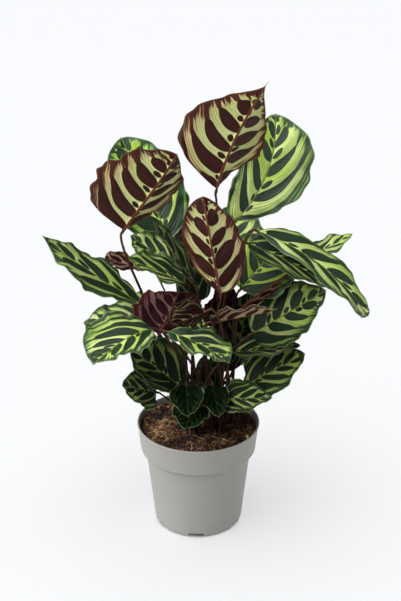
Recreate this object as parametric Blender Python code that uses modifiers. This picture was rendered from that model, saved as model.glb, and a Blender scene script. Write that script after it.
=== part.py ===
# Potted calathea: a grey nursery pot filled with soil, seven crowns of stalks and 41 leaf blades.
# Lengths in the settings are millimetres; meshes are metres, +Z up, the pot stands on z = 0.
from math import cos, pi, radians, sin

import bmesh
import bpy
import numpy as np

MM = 0.001

# Pot, as (radius, height) down the outside and back up the inside
POT_OUTSIDE = [
    (70.3, 127.0), (70.6, 125.6), (69.6, 124.0), (66.4, 95.0), (65.8, 94.0), (60.9, 93.2),
    (51.6, 6.0), (50.6, 1.8), (49.2, 0.0),
]
POT_UNDERSIDE = [(47.0, 0.0), (46.2, 6.0), (14.5, 6.0), (13.5, 0.0), (0.0, 0.0)]
POT_INSIDE = [
    (0.0, 8.0), (48.4, 8.0), (50.0, 10.0), (58.9, 92.6), (59.6, 94.8), (64.5, 95.8), (68.0, 124.0),
    (68.6, 127.0),
]
TURN_STEPS = 40
NOTCH_COUNT = 6
NOTCH_WIDTH = 20.0
NOTCH_TOP = 16.5
NOTCH_HEIGHT = 5.8
FIRST_NOTCH = -93.0
DRAIN_RADIUS = 3.5
DRAIN_RING = 36.0

# Soil, a gap inside the pot
SOIL_SIDE = [
    (67.0, 118.2), (64.1, 96.2), (59.2, 95.2), (58.5, 92.8), (49.6, 10.2), (48.1, 8.35), (0.0, 8.35),
]
SOIL_TOP = [(0.0, 121.5), (20.0, 121.2), (37.0, 120.4), (52.0, 119.4)]
SOIL_BUMP = 1.2
SOIL_SEED = 7

# Crown, the short neck that stands in the soil, and the hole it stands in
CROWN_LINE = [(0.0, 127.0), (4.5, 126.6), (8.5, 123.0), (9.0, 120.0), (6.0, 96.0), (0.0, 95.0)]
HOLE_LINE = [(0.0, 150.0), (9.35, 150.0), (9.35, 120.0), (6.35, 95.6), (0.0, 94.6)]
CROWN_STEPS = 12
ROOT_HEIGHT = 118.0
ROOT_RING = 4.5
CROWNS = {
    "a": (-20, 8),
    "b": (-7, -22),
    "c": (22, -18),
    "d": (38, 10),
    "e": (8, 9),
    "f": (-9, 38),
    "g": (24, 38),
}

# Stalk radii: at the root, along the thin part and at the swollen joint under the blade
STALK_ROOT = 2.3
STALK_THIN = 1.25
STALK_JOINT = 1.7
STALK_GAP = 0.72
JOINT_LENGTH = 5.0

# Blade thickness at the midrib, and the share of it left at the margin
BLADE_THICK = 1.6
BLADE_EDGE_SHARE = 0.5
BIG_BLADE = 70.0
BIG_GRID = (9, 6)
SMALL_GRID = (8, 4)

POT_COLOUR = (0.36, 0.35, 0.33)
SOIL_COLOUR = (0.085, 0.05, 0.028)
STALK_COLOUR = (0.11, 0.045, 0.022)
BLADE_COLOUR = (0.16, 0.27, 0.06)


# One leaf: base and tip of the midrib, full width, azimuth and elevation its upper face looks to,
# sideways lean of its stalk, rise and sway of the midrib's two middle handles, fold of the left
# and right half in degrees, plumpness of the outline at the base and at the tip, the margin's wave
# as depth, count and phase in degrees, and the share of the half width that each half takes.
# Plumpness may be a pair too, for the left and the right half.
def leaf(crown, base, tip, width, face, lean=(0, 0), rise=(0, 0), sway=(0, 0), fold=(12, 12),
         plump=0.5, point=0.8, wave=(2.5, 2.5, 0), halves=(1, 1)):
    plump = plump if isinstance(plump, tuple) else (plump, plump)
    point = point if isinstance(point, tuple) else (point, point)
    return dict(crown=crown, base=np.array(base, float), tip=np.array(tip, float), width=width,
                face=face, lean=lean, rise=rise, sway=sway, fold=fold, plump=plump, point=point,
                wave=wave, halves=halves)


LEAVES = {
    # The tall leaves at the top
    "blade_01": leaf("e", (19, -25, 414), (69, -5, 517), 112, (112, -8), lean=(13, 23),
                     sway=(9, 6), fold=(36, 6), plump=(1.6, 1.1), point=(1.7, 1.6),
                     halves=(1.12, 1.03)),
    "blade_02": leaf("d", (41, 35, 357), (83, 60, 471), 108, (-85, 15), lean=(-13, 23),
                     sway=(18, 20), fold=(8, 8), plump=(0.35, 1.1), point=(0.45, 0.75),
                     halves=(0.6, 0.86)),
    "blade_03": leaf("a", (-74, -67, 385), (-21, -42, 455), 112, (110, -5), lean=(-5, -3),
                     rise=(-4, -8), sway=(2, 0), fold=(38, 5), plump=(0.9, 0.3), point=(0.5, 0.62),
                     halves=(0.72, 1.0)),
    "blade_04": leaf("f", (-32, 44, 335), (-85, 74, 441), 86, (-90, 15), lean=(-5, -3),
                     fold=(10, 10), point=0.6),
    "blade_05": leaf("b", (23, -60, 312), (5, -45, 412), 66, (90, -5), lean=(0, 34),
                     rise=(-6, -10), fold=(20, 20), plump=(0.45, 0.85), point=(0.7, 0.55),
                     halves=(1.06, 0.9)),
    # The upper middle, left to right
    "blade_06": leaf("f", (-20, 19, 306), (-74, 24, 345), 55, (-60, 50), lean=(5, 3)),
    "blade_07": leaf("e", (-4, -19, 309), (-47, -20, 376), 46, (-7, 30), lean=(-3, -5)),
    "blade_08": leaf("a", (-64, -18, 284), (-163, -28, 364), 66, (-40, 50), lean=(16, 9),
                     rise=(-3, -5), plump=(1.2, 0.6), point=(1.3, 0.95), halves=(0.85, 0.7)),
    "blade_09": leaf("f", (-54, 20, 306), (-103, 25, 319), 24, (90, 15), lean=(3, 5), plump=1.1, point=0.45),
    "blade_10": leaf("a", (-14, -23, 309), (-74, -32, 341), 60, (-12, 62), lean=(-12, 0)),
    "blade_11": leaf("d", (47, 5, 290), (96, 35, 339), 85, (-104, 30), lean=(0, 34)),
    "blade_12": leaf("d", (54, -3, 346), (142, -13, 299), 54, (-78, 50), lean=(-16, 9),
                     rise=(10, 10), halves=(1.0, 0.62)),
    "blade_13": leaf("d", (64, -5, 361), (183, -30, 273), 46, (-55, 64), lean=(-28, -48),
                     rise=(20, 22), plump=(0.4, 0.8), point=(0.42, 0.55), halves=(1.05, 1.05)),
    "blade_14": leaf("c", (59, -14, 244), (138, -14, 296), 80, (-124, 42), lean=(-48, -28)),
    "blade_15": leaf("c", (15, -50, 276), (81, -75, 301), 50, (110, 52), lean=(-3, 5)),
    "blade_16": leaf("b", (-42, -24, 250), (-20, -54, 311), 76, (100, 12), lean=(-16, 9),
                     plump=0.4, point=0.5),
    "blade_17": leaf("c", (9, -80, 302), (-31, -72, 280), 44, (80, 40), lean=(13, 5)),
    # The lower leaves
    "blade_18": leaf("a", (-53, -12, 257), (-127, -2, 252), 60, (-74, 66), lean=(5, 3)),
    "blade_19": leaf("b", (-49, -54, 269), (-108, -94, 247), 78, (-120, 56), lean=(26, 0),
                     rise=(12, 8), plump=(0.65, 0.5), point=(1.2, 0.42), halves=(0.76, 1.03)),
    "blade_20": leaf("b", (-32, -58, 268), (32, -83, 243), 46, (-78, 70), lean=(23, -13),
                     rise=(8, 8), wave=(3.5, 2.5, 90), plump=(1.1, 0.9), point=(0.6, 1.2),
                     halves=(0.96, 0.86)),
    "blade_21": leaf("b", (-13, -39, 187), (-74, -39, 239), 76, (-60, 37), lean=(0, 18),
                     plump=(0.8, 1.0), point=(0.8, 1.0), halves=(0.62, 0.95)),
    "blade_22": leaf("a", (-46, -37, 184), (-81, -67, 208), 50, (-63, 45)),
    "blade_23": leaf("c", (40, -26, 228), (111, -31, 238), 55, (-170, 84), lean=(12, 0)),
    "blade_24": leaf("c", (53, -25, 187), (116, -35, 230), 62, (-124, 42), lean=(6, 0)),
    "blade_25": leaf("c", (26, -47, 182), (80, -62, 190), 45, (-90, 60), lean=(-5, -3), point=1.0),
    "blade_26": leaf("b", (-13, -47, 198), (-11, -87, 182), 38, (-90, 65), lean=(16, -9)),
    "blade_27": leaf("c", (16, -37, 193), (22, -76, 175), 32, (-90, 65)),
    "blade_28": leaf("b", (-4, -45, 172), (-14, -84, 165), 42, (-90, 70), lean=(-12, 0)),
    "blade_29": leaf("e", (19, 8, 160), (5, 18, 200), 40, (-130, 40), lean=(12, 0)),
    # Small leaves between the others
    "blade_30": leaf("d", (121, 14, 323), (169, 26, 346), 26, (-112, 56), lean=(10, 6), plump=0.6, point=0.9),
    "blade_31": leaf("f", (1, 10, 273), (-18, 20, 347), 45, (-76, 32), lean=(-18, 0)),
    "blade_32": leaf("d", (48, -18, 277), (98, -9, 314), 18, (80, -40), lean=(8, 12),
                     fold=(60, 60)),
    "blade_33": leaf("e", (18, 8, 240), (36, -7, 298), 38, (95, 20), lean=(-9, -16)),
    "blade_34": leaf("c", (34, 1, 190), (30, -9, 234), 44, (-75, 35), lean=(12, 0)),
    # The back of the plant, which the photo does not show
    "blade_35": leaf("f", (-30, 60, 300), (-62, 120, 372), 88, (95, 42), lean=(6, 0),
                     rise=(6, 8)),
    "blade_36": leaf("g", (30, 62, 286), (44, 132, 342), 92, (80, 50), lean=(5, 3), rise=(8, 8)),
    "blade_37": leaf("f", (-52, 48, 228), (-120, 84, 262), 74, (130, 58), lean=(3, 5),
                     rise=(8, 8)),
    "blade_38": leaf("g", (48, 51, 192), (58, 60, 262), 70, (-75, 20)),
    "blade_39": leaf("g", (6, 66, 200), (0, 130, 212), 70, (92, 68), lean=(-5, -3),
                     rise=(10, 10)),
    "blade_40": leaf("g", (40, 55, 170), (78, 96, 180), 52, (50, 66)),
    "blade_41": leaf("f", (-34, 58, 168), (-72, 96, 172), 50, (125, 66), lean=(10, 6)),
}


def unit(v):
    return v / np.linalg.norm(v, axis=-1, keepdims=True)


def facing(azimuth, elevation):
    a = radians(azimuth)
    e = radians(elevation)
    return np.array([cos(a) * cos(e), sin(a) * cos(e), sin(e)])


# Centre line of the blade with the directions along it, out of its upper face and across it.
def midrib(one, u):
    base = one["base"]
    tip = one["tip"]
    along = unit(tip - base)
    out = facing(*one["face"])
    out = unit(out - (out @ along) * along)
    across = np.cross(along, out)
    third = np.linalg.norm(tip - base) / 3
    first = base + along * third + out * one["rise"][0] + across * one["sway"][0]
    second = base + along * 2 * third + out * one["rise"][1] + across * one["sway"][1]
    u = np.asarray(u)[..., None]
    centre = ((1 - u) ** 3 * base + 3 * u * (1 - u) ** 2 * first
              + 3 * u * u * (1 - u) * second + u ** 3 * tip)
    along = unit((1 - u) ** 2 * (first - base) + 2 * u * (1 - u) * (second - first)
                 + u * u * (tip - second))
    out = unit(out - (along @ out)[..., None] * along)
    return centre, along, out, np.cross(along, out)


# Share of the full half width at u in the half that v lies in.
def outline(one, u, v):
    a = np.where(v < 0, *one["plump"])
    b = np.where(v < 0, *one["point"])
    share = np.where(v < 0, *one["halves"])
    peak = a / (a + b)
    return share * (u ** a * (1 - u) ** b) / (peak ** a * (1 - peak) ** b)


# Points of the upper face: u runs along the midrib, v across from -1 to 1.
def blade_points(one, u, v):
    centre, along, out, across = midrib(one, u)
    half = one["width"] / 2
    stub = np.where(u < 0.5, 1.1, 0.5)
    reach = np.maximum(half * outline(one, u, v), stub)
    fold = np.radians(np.where(v < 0, one["fold"][0], one["fold"][1])) * np.minimum(1, u / 0.06)
    distance = np.abs(v) * reach
    depth, count, phase = one["wave"]
    side = np.sign(v)
    turn = 2 * pi * (count * u + phase / 360 + 0.31 * side)
    wave = depth * v * v * np.sin(turn) * np.minimum(1, reach / (half * 0.4))
    sideways = side * distance * np.cos(fold)
    up = distance * np.sin(fold) + wave
    return centre + across * sideways[..., None] + out * up[..., None]


# Centre line of a leaf's stalk from its crown to the straight joint, and the joint's far end.
def stalk_points(one, slot, slots, u):
    x, y = CROWNS[one["crown"]]
    turn = 2 * pi * slot / slots
    root = np.array([x + ROOT_RING * cos(turn), y + ROOT_RING * sin(turn), ROOT_HEIGHT])
    centre, along, out, across = midrib(one, np.array([0.0]))
    end = one["base"] - along[0] * STALK_GAP - out[0] * BLADE_THICK / 2
    knee = end - along[0] * JOINT_LENGTH
    reach = np.linalg.norm(knee - root)
    lean = np.array([one["lean"][0], one["lean"][1], 0.0])
    first = root + np.array([0, 0, 0.42 * reach]) + lean
    arrive = unit(0.4 * along[0] + unit(knee - root))
    second = knee - arrive * min(28.0, 0.24 * reach) + lean * 0.6
    u = np.asarray(u)[..., None]
    points = ((1 - u) ** 3 * root + 3 * u * (1 - u) ** 2 * first
              + 3 * u * u * (1 - u) * second + u ** 3 * knee)
    return points, end, reach


# The leaves of one crown in the order they stand round it.
def crown_order(crown):
    x, y = CROWNS[crown]
    members = [name for name in LEAVES if LEAVES[name]["crown"] == crown]
    return sorted(members, key=lambda name: np.arctan2(LEAVES[name]["base"][1] - y,
                                                       LEAVES[name]["base"][0] - x) % (2 * pi))


def clear_scene():
    for obj in list(bpy.data.objects):
        bpy.data.objects.remove(obj, do_unlink=True)


def new_collection(name):
    collection = bpy.data.collections.new(name)
    bpy.context.scene.collection.children.link(collection)
    return collection


def new_material(name, colour, roughness):
    material = bpy.data.materials.new(name)
    material.use_nodes = True
    shader = material.node_tree.nodes["Principled BSDF"]
    shader.inputs["Base Color"].default_value = (*colour, 1)
    shader.inputs["Roughness"].default_value = roughness
    shader.inputs["Metallic"].default_value = 0
    material.diffuse_color = (*colour, 1)
    return material


def object_from_bmesh(name, bm, collection, material=None):
    mesh = bpy.data.meshes.new(name)
    bm.to_mesh(mesh)
    bm.free()
    obj = bpy.data.objects.new(name, mesh)
    collection.objects.link(obj)
    if material:
        mesh.materials.append(material)
    return obj


# A plain mesh object in place of one with modifiers or a curve.
def applied(obj, collection, material=None):
    name = obj.name
    bpy.context.view_layer.update()
    graph = bpy.context.evaluated_depsgraph_get()
    mesh = bpy.data.meshes.new_from_object(obj.evaluated_get(graph))
    place = obj.matrix_world.copy()
    bpy.data.objects.remove(obj, do_unlink=True)
    new = bpy.data.objects.new(name, mesh)
    new.matrix_world = place
    collection.objects.link(new)
    if material and not mesh.materials:
        mesh.materials.append(material)
    return new


# A solid of revolution about z from a line of (radius, height) that runs down its outer side.
def turned(name, line, steps, collection, material=None, x=0, y=0):
    bm = bmesh.new()
    verts = [bm.verts.new((r * MM, 0, z * MM)) for r, z in line]
    for a, b in zip(verts, verts[1:]):
        bm.edges.new((a, b))
    obj = object_from_bmesh(name, bm, collection, material)
    obj.location = (x * MM, y * MM, 0)
    screw = obj.modifiers.new("turn", "SCREW")
    screw.axis = "Z"
    screw.angle = 2 * pi
    screw.screw_offset = 0
    screw.steps = steps
    screw.render_steps = steps
    screw.use_merge_vertices = True
    screw.merge_threshold = 0.00005
    screw.use_smooth_shade = True
    return obj


def cutter_look(obj):
    obj.hide_render = True
    obj.display_type = "WIRE"


def cut(obj, cutter, name):
    cutter_look(cutter)
    boolean = obj.modifiers.new(name, "BOOLEAN")
    boolean.operation = "DIFFERENCE"
    boolean.solver = "EXACT"
    boolean.object = cutter


def smooth(obj, angle):
    obj.data.shade_smooth()
    obj.data.set_sharp_from_angle(angle=radians(angle))


# The notches in the foot and the drain holes, as islands of one cutter.
def pot_cutter(collection):
    bm = bmesh.new()
    for k in range(NOTCH_COUNT):
        turn = radians(FIRST_NOTCH + 360 * k / NOTCH_COUNT)
        box = bmesh.ops.create_cube(bm, size=2)["verts"]
        for v in box:
            z = NOTCH_HEIGHT if v.co.z > 0 else -1
            half = (NOTCH_WIDTH + (NOTCH_TOP - NOTCH_WIDTH) * z / NOTCH_HEIGHT) / 2
            v.co = ((48.5 + 5 * v.co.x) * MM, half * v.co.y * MM, z * MM)
        hole = bmesh.ops.create_cone(bm, cap_ends=True, segments=12, radius1=DRAIN_RADIUS * MM,
                                     radius2=DRAIN_RADIUS * MM, depth=5 * MM)["verts"]
        bmesh.ops.translate(bm, verts=hole, vec=(DRAIN_RING * MM, 0, 7 * MM))
        both = box + hole
        rotation = np.eye(4)
        rotation[:2, :2] = [[cos(turn), -sin(turn)], [sin(turn), cos(turn)]]
        for v in both:
            x, y, z = v.co
            v.co = (rotation[0, 0] * x + rotation[0, 1] * y, rotation[1, 0] * x + rotation[1, 1] * y, z)
    return object_from_bmesh("pot_cutter", bm, collection)


def make_pot(parts, tools):
    material = new_material("pot_plastic", POT_COLOUR, 0.55)
    line = POT_INSIDE + POT_OUTSIDE + POT_UNDERSIDE
    pot = turned("pot", line, TURN_STEPS, parts, material)
    pot = applied(pot, parts, material)
    smooth(pot, 35)
    cut(pot, pot_cutter(tools), "notches and drains")


def make_soil(parts, tools):
    material = new_material("soil_fibre", SOIL_COLOUR, 0.95)
    soil = turned("soil", SOIL_TOP + SOIL_SIDE, TURN_STEPS, parts, material)
    soil = applied(soil, parts, material)
    rng = np.random.RandomState(SOIL_SEED)
    waves = rng.uniform(-1, 1, (6, 2)) * 0.16
    phases = rng.uniform(0, 2 * pi, 6)
    for v in soil.data.vertices:
        x, y, z = v.co.x / MM, v.co.y / MM, v.co.z / MM
        if z > 119 and x * x + y * y < 60 ** 2:
            bump = sum(sin(wx * x + wy * y + p) for (wx, wy), p in zip(waves, phases)) / 3
            v.co.z = (z + SOIL_BUMP * bump) * MM
    smooth(soil, 40)
    for crown, (x, y) in CROWNS.items():
        hole = turned("hole_" + crown, HOLE_LINE, CROWN_STEPS, tools, None, x, y)
        hole = applied(hole, tools)
        cut(soil, hole, "hole for crown " + crown)


# One stalk as a bevelled curve turned into a closed tube.
def make_stalk(name, one, slot, slots, collection):
    points, end, reach = stalk_points(one, slot, slots, np.array([0.0]))
    count = 6 if reach < 110 else 7
    u = np.linspace(0, 1, count)
    points, end, reach = stalk_points(one, slot, slots, u)
    points = np.vstack([points, end])
    size = 0.75 + 0.25 * min(one["width"], 100) / 100
    radii = STALK_ROOT + (STALK_THIN - STALK_ROOT) * np.minimum(1, u * 1.3)
    radii = np.append(radii, STALK_JOINT * 0.95)
    radii[-2] = STALK_JOINT
    curve = bpy.data.curves.new(name, "CURVE")
    curve.dimensions = "3D"
    curve.bevel_depth = MM
    curve.bevel_resolution = 1
    curve.use_fill_caps = True
    spline = curve.splines.new("POLY")
    spline.points.add(len(points) - 1)
    for point, place, radius in zip(spline.points, points, radii):
        point.co = (*(place * MM), 1)
        point.radius = radius * size
    obj = bpy.data.objects.new(name, curve)
    collection.objects.link(obj)
    tube = applied(obj, collection)
    bm = bmesh.new()
    bm.from_mesh(tube.data)
    bmesh.ops.remove_doubles(bm, verts=bm.verts, dist=1e-6)
    bmesh.ops.recalc_face_normals(bm, faces=bm.faces)
    bm.to_mesh(tube.data)
    bm.free()


# A crown with all its stalks, joined by one union and left as a plain mesh.
def make_crown(crown, parts, material):
    x, y = CROWNS[crown]
    gathered = new_collection("stalks_" + crown)
    order = crown_order(crown)
    for slot, name in enumerate(order):
        make_stalk(name.replace("blade", "stalk"), LEAVES[name], slot, len(order), gathered)
    body = turned("crown_" + crown, CROWN_LINE, CROWN_STEPS, parts, material, x, y)
    join = body.modifiers.new("stalks", "BOOLEAN")
    join.operation = "UNION"
    join.solver = "MANIFOLD"
    join.operand_type = "COLLECTION"
    join.collection = gathered
    body = applied(body, parts, material)
    for obj in list(gathered.objects):
        bpy.data.objects.remove(obj, do_unlink=True)
    bpy.data.collections.remove(gathered)
    smooth(body, 50)


# A blade: a grid bent to the leaf's form, split into triangles, then given its thickness.
def make_blade(name, one, parts, material):
    along, across = BIG_GRID if one["width"] >= BIG_BLADE else SMALL_GRID
    bm = bmesh.new()
    bmesh.ops.create_grid(bm, x_segments=along, y_segments=across, size=1)
    places = np.array([v.co[:] for v in bm.verts])
    low = places.min(axis=0)
    high = places.max(axis=0)
    u = (1 - np.cos(pi * (places[:, 0] - low[0]) / (high[0] - low[0]))) / 2
    v = 1 - 2 * (places[:, 1] - low[1]) / (high[1] - low[1])
    for vert, place in zip(bm.verts, blade_points(one, u, v)):
        vert.co = place * MM
    bmesh.ops.triangulate(bm, faces=bm.faces)
    obj = object_from_bmesh(name, bm, parts, material)
    rib = obj.vertex_groups.new(name="midrib")
    rib.add([int(k) for k in np.flatnonzero(np.abs(v) < 0.01)], 1.0, "REPLACE")
    shell = obj.modifiers.new("thickness", "SOLIDIFY")
    shell.thickness = BLADE_THICK * MM
    shell.offset = -1
    shell.vertex_group = "midrib"
    shell.thickness_vertex_group = BLADE_EDGE_SHARE
    smooth(obj, 60)


def build():
    clear_scene()
    parts = new_collection("potted_calathea")
    tools = new_collection("cutters")
    make_pot(parts, tools)
    make_soil(parts, tools)
    stalk_material = new_material("stalk", STALK_COLOUR, 0.6)
    for crown in CROWNS:
        make_crown(crown, parts, stalk_material)
    blade_material = new_material("blade", BLADE_COLOUR, 0.45)
    for name, one in LEAVES.items():
        make_blade(name, one, parts, blade_material)


build()
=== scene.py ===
# Potted calathea: the finished leaves, stalks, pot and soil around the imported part.
# Lengths in the dictionaries are millimetres; every mesh is made in metres where it stands.
from math import cos, pi, radians, sin, tau

import bpy
import numpy as np
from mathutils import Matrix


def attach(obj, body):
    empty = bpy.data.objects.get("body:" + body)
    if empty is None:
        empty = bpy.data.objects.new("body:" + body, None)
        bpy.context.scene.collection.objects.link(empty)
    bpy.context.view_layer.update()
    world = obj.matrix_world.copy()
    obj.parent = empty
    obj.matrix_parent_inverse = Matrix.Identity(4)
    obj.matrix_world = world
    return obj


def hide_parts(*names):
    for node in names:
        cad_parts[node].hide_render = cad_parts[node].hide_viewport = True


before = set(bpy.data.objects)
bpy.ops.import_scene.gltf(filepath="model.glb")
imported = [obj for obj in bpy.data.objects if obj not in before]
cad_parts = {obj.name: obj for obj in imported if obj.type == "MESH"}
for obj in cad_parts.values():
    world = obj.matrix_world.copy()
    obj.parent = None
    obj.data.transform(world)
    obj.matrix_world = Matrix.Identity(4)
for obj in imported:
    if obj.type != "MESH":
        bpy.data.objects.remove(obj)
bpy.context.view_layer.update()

print("frame loaded with", len(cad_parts), "nodes")
millimetre = 0.001


# Each row divided by its own length.
def unit(v):
    return v / np.maximum(np.linalg.norm(v, axis=-1, keepdims=True), 1e-12)


# The cubic curve from start to end through two handles, at the share u of its way.
def cubic(u, start, first, second, end):
    return ((1 - u) ** 3 * start + 3 * u * (1 - u) ** 2 * first
            + 3 * u * u * (1 - u) * second + u ** 3 * end)


# The circle of radius 1 that two directions span: cos a times the first + sin a times the second.
def circle(angle, first, second):
    x, y = np.cos(angle)[:, None], np.sin(angle)[:, None]
    return x * first[..., None, :] + y * second[..., None, :]


# Smooth noise from -1 to 1: random numbers on a whole-number lattice, blended by 3t² - 2t³.
def latticeNoise(x, y, seed):
    columns, rows = 67, 71
    table = np.random.RandomState(seed).uniform(-1, 1, (columns, rows))
    column, row = np.floor(x).astype(int), np.floor(y).astype(int)
    s, t = x - column, y - row
    s, t = s * s * (3 - 2 * s), t * t * (3 - 2 * t)
    corner = lambda i, j: table[(column + i) % columns, (row + j) % rows]
    low = corner(0, 0) * (1 - s) + corner(1, 0) * s
    high = corner(0, 1) * (1 - s) + corner(1, 1) * s
    return low * (1 - t) + high * t


# Quads between neighbouring rows and columns of a grid; closed joins its last column to its first.
def gridFaces(rows, columns, closed=False, flip=False):
    i = np.arange(rows - 1)[:, None]
    j = np.arange(columns if closed else columns - 1)[None, :]
    k = (j + 1) % columns
    quads = np.stack([i * columns + j, i * columns + k,
                      (i + 1) * columns + k, (i + 1) * columns + j], -1).reshape(-1, 4)
    return quads[:, ::-1] if flip else quads


# A closed sheet of two equal grids: upper faces, lower faces turned over, and the rim between.
def sheetFaces(rows, columns):
    faces, total = gridFaces(rows, columns), rows * columns
    border = np.concatenate([np.arange(columns), np.arange(1, rows) * columns + columns - 1,
                             (rows - 1) * columns + np.arange(columns - 2, -1, -1),
                             np.arange(rows - 2, 0, -1) * columns])
    following = np.roll(border, -1)
    rim = np.stack([following, border, border + total, following + total], -1)
    return [faces, faces[:, ::-1] + total, rim]


# A grid closed round its columns, its first and last row closed on the two points that follow it.
def tubeFaces(rows, columns, flip=False):
    one = np.arange(columns)
    after = np.roll(one, -1)
    total, last = rows * columns, (rows - 1) * columns
    foot = np.stack([np.full(columns, total), after, one], -1)
    top = np.stack([np.full(columns, total + 1), one + last, after + last], -1)
    if flip:
        foot, top = foot[:, [0, 2, 1]], top[:, [0, 2, 1]]
    return [gridFaces(rows, columns, closed=True, flip=flip), foot, top]


# One mesh object from parts, each a dictionary of points, groups of faces, a material slot for each
# group, and uv, which holds a pair of numbers for each point under the name of each map.
def newPiece(name, parts, materials):
    points, loops, sizes, slots, offset = [], [], [], [], 0
    maps = {title: [] for title in parts[0].get("uv", {})}
    for part in parts:
        points.append(np.asarray(part["points"], float) * millimetre)
        groups = part["faces"]
        for group, slot in zip(groups, part.get("slots", [0] * len(groups))):
            loops.append((group + offset).ravel())
            sizes.append(np.full(len(group), group.shape[1]))
            slots.append(np.full(len(group), slot))
            for title in maps:
                maps[title].append(part["uv"][title][group.ravel()])
        offset += len(part["points"])
    points, loops = np.vstack(points), np.concatenate(loops)
    sizes, slots = np.concatenate(sizes), np.concatenate(slots)
    mesh = bpy.data.meshes.new(name)
    mesh.vertices.add(len(points))
    mesh.vertices.foreach_set("co", points.ravel())
    mesh.loops.add(len(loops))
    mesh.loops.foreach_set("vertex_index", loops.astype(np.int32))
    mesh.polygons.add(len(sizes))
    starts = np.concatenate([[0], np.cumsum(sizes)[:-1]])
    mesh.polygons.foreach_set("loop_start", starts.astype(np.int32))
    mesh.polygons.foreach_set("material_index", slots.astype(np.int32))
    mesh.polygons.foreach_set("use_smooth", np.ones(len(sizes), bool))
    for title, pairs in maps.items():
        pairs = np.vstack(pairs).astype(np.float32)
        mesh.uv_layers.new(name=title).data.foreach_set("uv", pairs.ravel())
    for material in materials:
        mesh.materials.append(material)
    mesh.update(calc_edges=True)
    mesh.validate()
    piece = bpy.data.objects.new(name, mesh)
    bpy.context.scene.collection.objects.link(piece)
    return piece


# Adds a shader node: settings are its own properties, values are numbers or sockets by input.
def addNode(tree, kind, values=None, **settings):
    made = tree.nodes.new("ShaderNode" + kind)
    for key, value in settings.items():
        setattr(made, key, value)
    for key, value in (values or {}).items():
        if isinstance(value, bpy.types.NodeSocket):
            tree.links.new(value, made.inputs[key])
        else:
            made.inputs[key].default_value = value
    return made


def calc(tree, operation, *values, clamp=False):
    made = addNode(tree, "Math", dict(enumerate(values)), operation=operation, use_clamp=clamp)
    return made.outputs[0]


def noise(tree, spot, scale, detail):
    return addNode(tree, "TexNoise", {"Vector": spot, "Scale": scale, "Detail": detail}).outputs[0]


def split(tree, vector):
    return addNode(tree, "SeparateXYZ", {0: vector}).outputs


def uvMap(tree, title):
    return addNode(tree, "UVMap", uv_map=title).outputs[0]


# 0 where value is under the edge, 1 over it, with a ramp of the given width.
def over(tree, value, edge, width):
    gap = calc(tree, "SUBTRACT", value, edge)
    return calc(tree, "MULTIPLY_ADD", gap, 1 / width, 0.5, clamp=True)


def mixColour(tree, share, first, second, blend="MIX"):
    made = addNode(tree, "Mix", {0: share, 6: first, 7: second}, data_type="RGBA", blend_type=blend)
    return made.outputs[2]


# Tints laid over a colour one after another, each by its own share.
def layered(tree, colour, *layers):
    for share, tint in layers:
        colour = mixColour(tree, share, colour, tint)
    return colour


# Screen colour from 0 to 255 as the linear colour that a shader takes.
def paint(red, green, blue):
    share = np.array([red, green, blue]) / 255
    linear = np.where(share < 0.04045, share / 12.92, ((share + 0.055) / 1.055) ** 2.4)
    return (*[float(x) for x in linear], 1.0)


def newGroup(name, inputs, outputs):
    group = bpy.data.node_groups.new(name, "ShaderNodeTree")
    for title, kind, value in inputs:
        socket = group.interface.new_socket(title, in_out="INPUT", socket_type="NodeSocket" + kind)
        if value is not None:
            socket.default_value = value
    for title, kind in outputs:
        group.interface.new_socket(title, in_out="OUTPUT", socket_type="NodeSocket" + kind)
    given, result = group.nodes.new("NodeGroupInput"), group.nodes.new("NodeGroupOutput")
    return group, given.outputs, result.inputs


def placeGroup(tree, group, values):
    return addNode(tree, "Group", values, node_tree=group).outputs


# A material with its Principled shader; plain numbers go straight to the shader's sockets.
def newMaterial(name, **plain):
    material = bpy.data.materials.new(name)
    material.use_nodes = True
    tree = material.node_tree
    shader = tree.nodes["Principled BSDF"]
    for key, value in plain.items():
        shader.inputs[key.replace("_", " ")].default_value = value
    return material, tree, shader


def bump(tree, height, strength, distance, shader):
    made = addNode(tree, "Bump", {"Height": height, "Strength": strength, "Distance": distance})
    tree.links.new(made.outputs[0], shader.inputs["Normal"])


# The camera, the floor and the lights come first.
studio = {
    "cameraPlace": (2.6, -1079.0, 747.0),
    "cameraPitch": 66.5,          # degrees up from straight down
    "lens": 64.1,
    "floorSize": 12000.0,
    "floorColour": (242, 243, 245),
    "flagRadius": 49.0, "flagHeight": 7.0, "flagSides": 48,
    "wallHeights": (-50.0, 9000.0), "wallSides": 64, "wallGlow": 1.0,
    "worldColour": (250, 251, 253),
    "worldStrength": 0.15,
    # power, spread in degrees and place of each lamp: key and fill light all but the floor,
    # potFill the pot alone, shade and wash the floor alone
    "lamps": {
        "key": (5.2, 55.0, (-1.7, -0.8, 1.65)),
        "fill": (0.6, 80.0, (1.6, -0.9, 0.6)),
        "potFill": (0.75, 80.0, (1.6, -0.9, 0.6)),
        "shade": (0.53, 75.0, (-1.0, -0.5, 1.9)),
        "wash": (2.54, 60.0, (0.0, 0.0, 3.0)),
    },
}


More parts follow.
